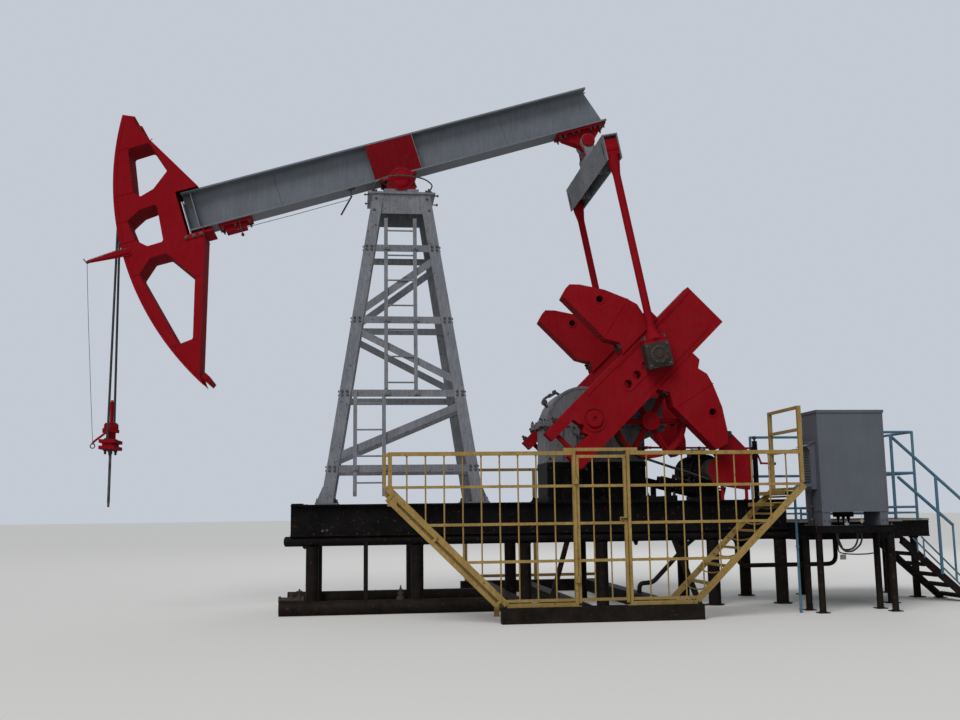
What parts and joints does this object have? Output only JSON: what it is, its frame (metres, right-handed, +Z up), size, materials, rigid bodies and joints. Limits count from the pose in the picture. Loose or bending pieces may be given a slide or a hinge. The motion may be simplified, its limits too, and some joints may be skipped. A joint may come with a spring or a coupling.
{
  "type": "beam pumping unit",
  "caption": "Tall beam pumping unit on a piled steel base: walking beam with horsehead, braced post, cranks with counterweights, gear reducer, motor, fences and control cabinet.",
  "frame": {"origin": "on the ground level, directly below the middle of the saddle bearing", "axes": "+Z up, +X from the horsehead towards the motor, +Y away from the side with the gate"},
  "size_m": [10.3198, 4.4, 6.6316],
  "materials": {
    "bare_steel": "dark rusty steel",
    "belt_rubber": "matt",
    "black_paint": "weathered satin paint",
    "blue_paint": "weathered satin paint",
    "grey_paint": "weathered satin paint",
    "red_paint": "weathered satin paint",
    "rod_steel": "greased polished steel",
    "wire_rope": "greased wire rope",
    "yellow_paint": "weathered satin paint"
  },
  "bodies": {
    "frame": {"ground_pipes": "black_paint", "sleepers": "black_paint", "piles": "black_paint", "deck_pipes": "black_paint", "base_beams": "black_paint", "cross_beams": "black_paint", "samson_legs": "grey_paint", "samson_bracing": "grey_paint", "saddle_base": "grey_paint", "saddle_bearings": "red_paint", "ladders": "grey_paint", "reducer_pedestal": "black_paint", "reducer_housing": "grey_paint", "reducer_cover": "grey_paint", "motor": "black_paint", "motor_mount": "black_paint", "v_belts": "belt_rubber", "belt_guard": "red_paint", "brake_rod": "red_paint", "fence_left": "yellow_paint", "fence_right": "yellow_paint", "gate_posts": "yellow_paint", "far_fence": "yellow_paint", "stair_left": "yellow_paint", "stair_right": "yellow_paint", "stair_rails": "yellow_paint", "platform": "black_paint", "platform_rails": "blue_paint", "access_stair": "black_paint", "cabinet": "grey_paint", "cabinet_hood": "grey_paint", "cabinet_stand": "black_paint"},
    "walking_beam": {"walking_beam": "grey_paint", "beam_panels": "red_paint", "saddle_block": "red_paint", "tail_bracket": "red_paint", "horsehead": "red_paint", "head_bracket": "red_paint", "head_ropes": "wire_rope"},
    "carrier": {"bridle_ropes": "wire_rope", "carrier": "red_paint", "polished_rod": "rod_steel"},
    "equalizer": {"equalizer": "grey_paint", "pitmans": "red_paint", "wrist_bearings": "bare_steel"},
    "cranks": {"crank_shaft": "bare_steel", "cranks": "red_paint", "counterweights": "red_paint"},
    "sheave": {"sheave": "red_paint"},
    "motor_pulley": {"motor_pulley": "bare_steel"},
    "gate": {"gate": "yellow_paint"}
  },
  "joints": [
    {"name": "crank_turn", "type": "hinge", "parent": "frame", "child": "cranks", "pos_m": [2.23, 0, 2.19], "axis": [0, 1, 0], "range_deg": [-29.2, 134.7]},
    {"name": "beam_rock", "type": "hinge", "parent": "frame", "child": "walking_beam", "pos_m": [0, 0, 5.25], "axis": [0, 1, 0], "range_deg": [-8.99, 41.12]},
    {"name": "equalizer_swing", "type": "hinge", "parent": "walking_beam", "child": "equalizer", "pos_m": [2.41989, 0, 5.87779], "axis": [0, 1, 0], "range_deg": [-30.14, 6.61]},
    {"name": "carrier_lift", "type": "slide", "parent": "frame", "child": "carrier", "axis": [0, 0, 1], "range_m": [-0.542, 2.481], "deforming": ["bridle_ropes"]},
    {"name": "sheave_turn", "type": "hinge", "parent": "frame", "child": "sheave", "pos_m": [2.98, 0, 2.19], "axis": [0, 1, 0], "continuous": true},
    {"name": "pulley_turn", "type": "hinge", "parent": "frame", "child": "motor_pulley", "pos_m": [3.77, 0, 1.6], "axis": [0, 1, 0], "continuous": true},
    {"name": "gate_swing", "type": "hinge", "parent": "frame", "child": "gate", "pos_m": [1.729, -2.186, 1], "axis": [0, 0, 1], "range_deg": [-100, 0]}
  ],
  "couplings": [
    {"joint": "beam_rock", "follows": "crank_turn", "ratio": 0.3045},
    {"joint": "equalizer_swing", "follows": "crank_turn", "ratio": -0.223},
    {"joint": "carrier_lift", "follows": "crank_turn", "m_per_rad": 1.0531},
    {"joint": "pulley_turn", "follows": "sheave_turn", "ratio": 3.48}
  ]
}
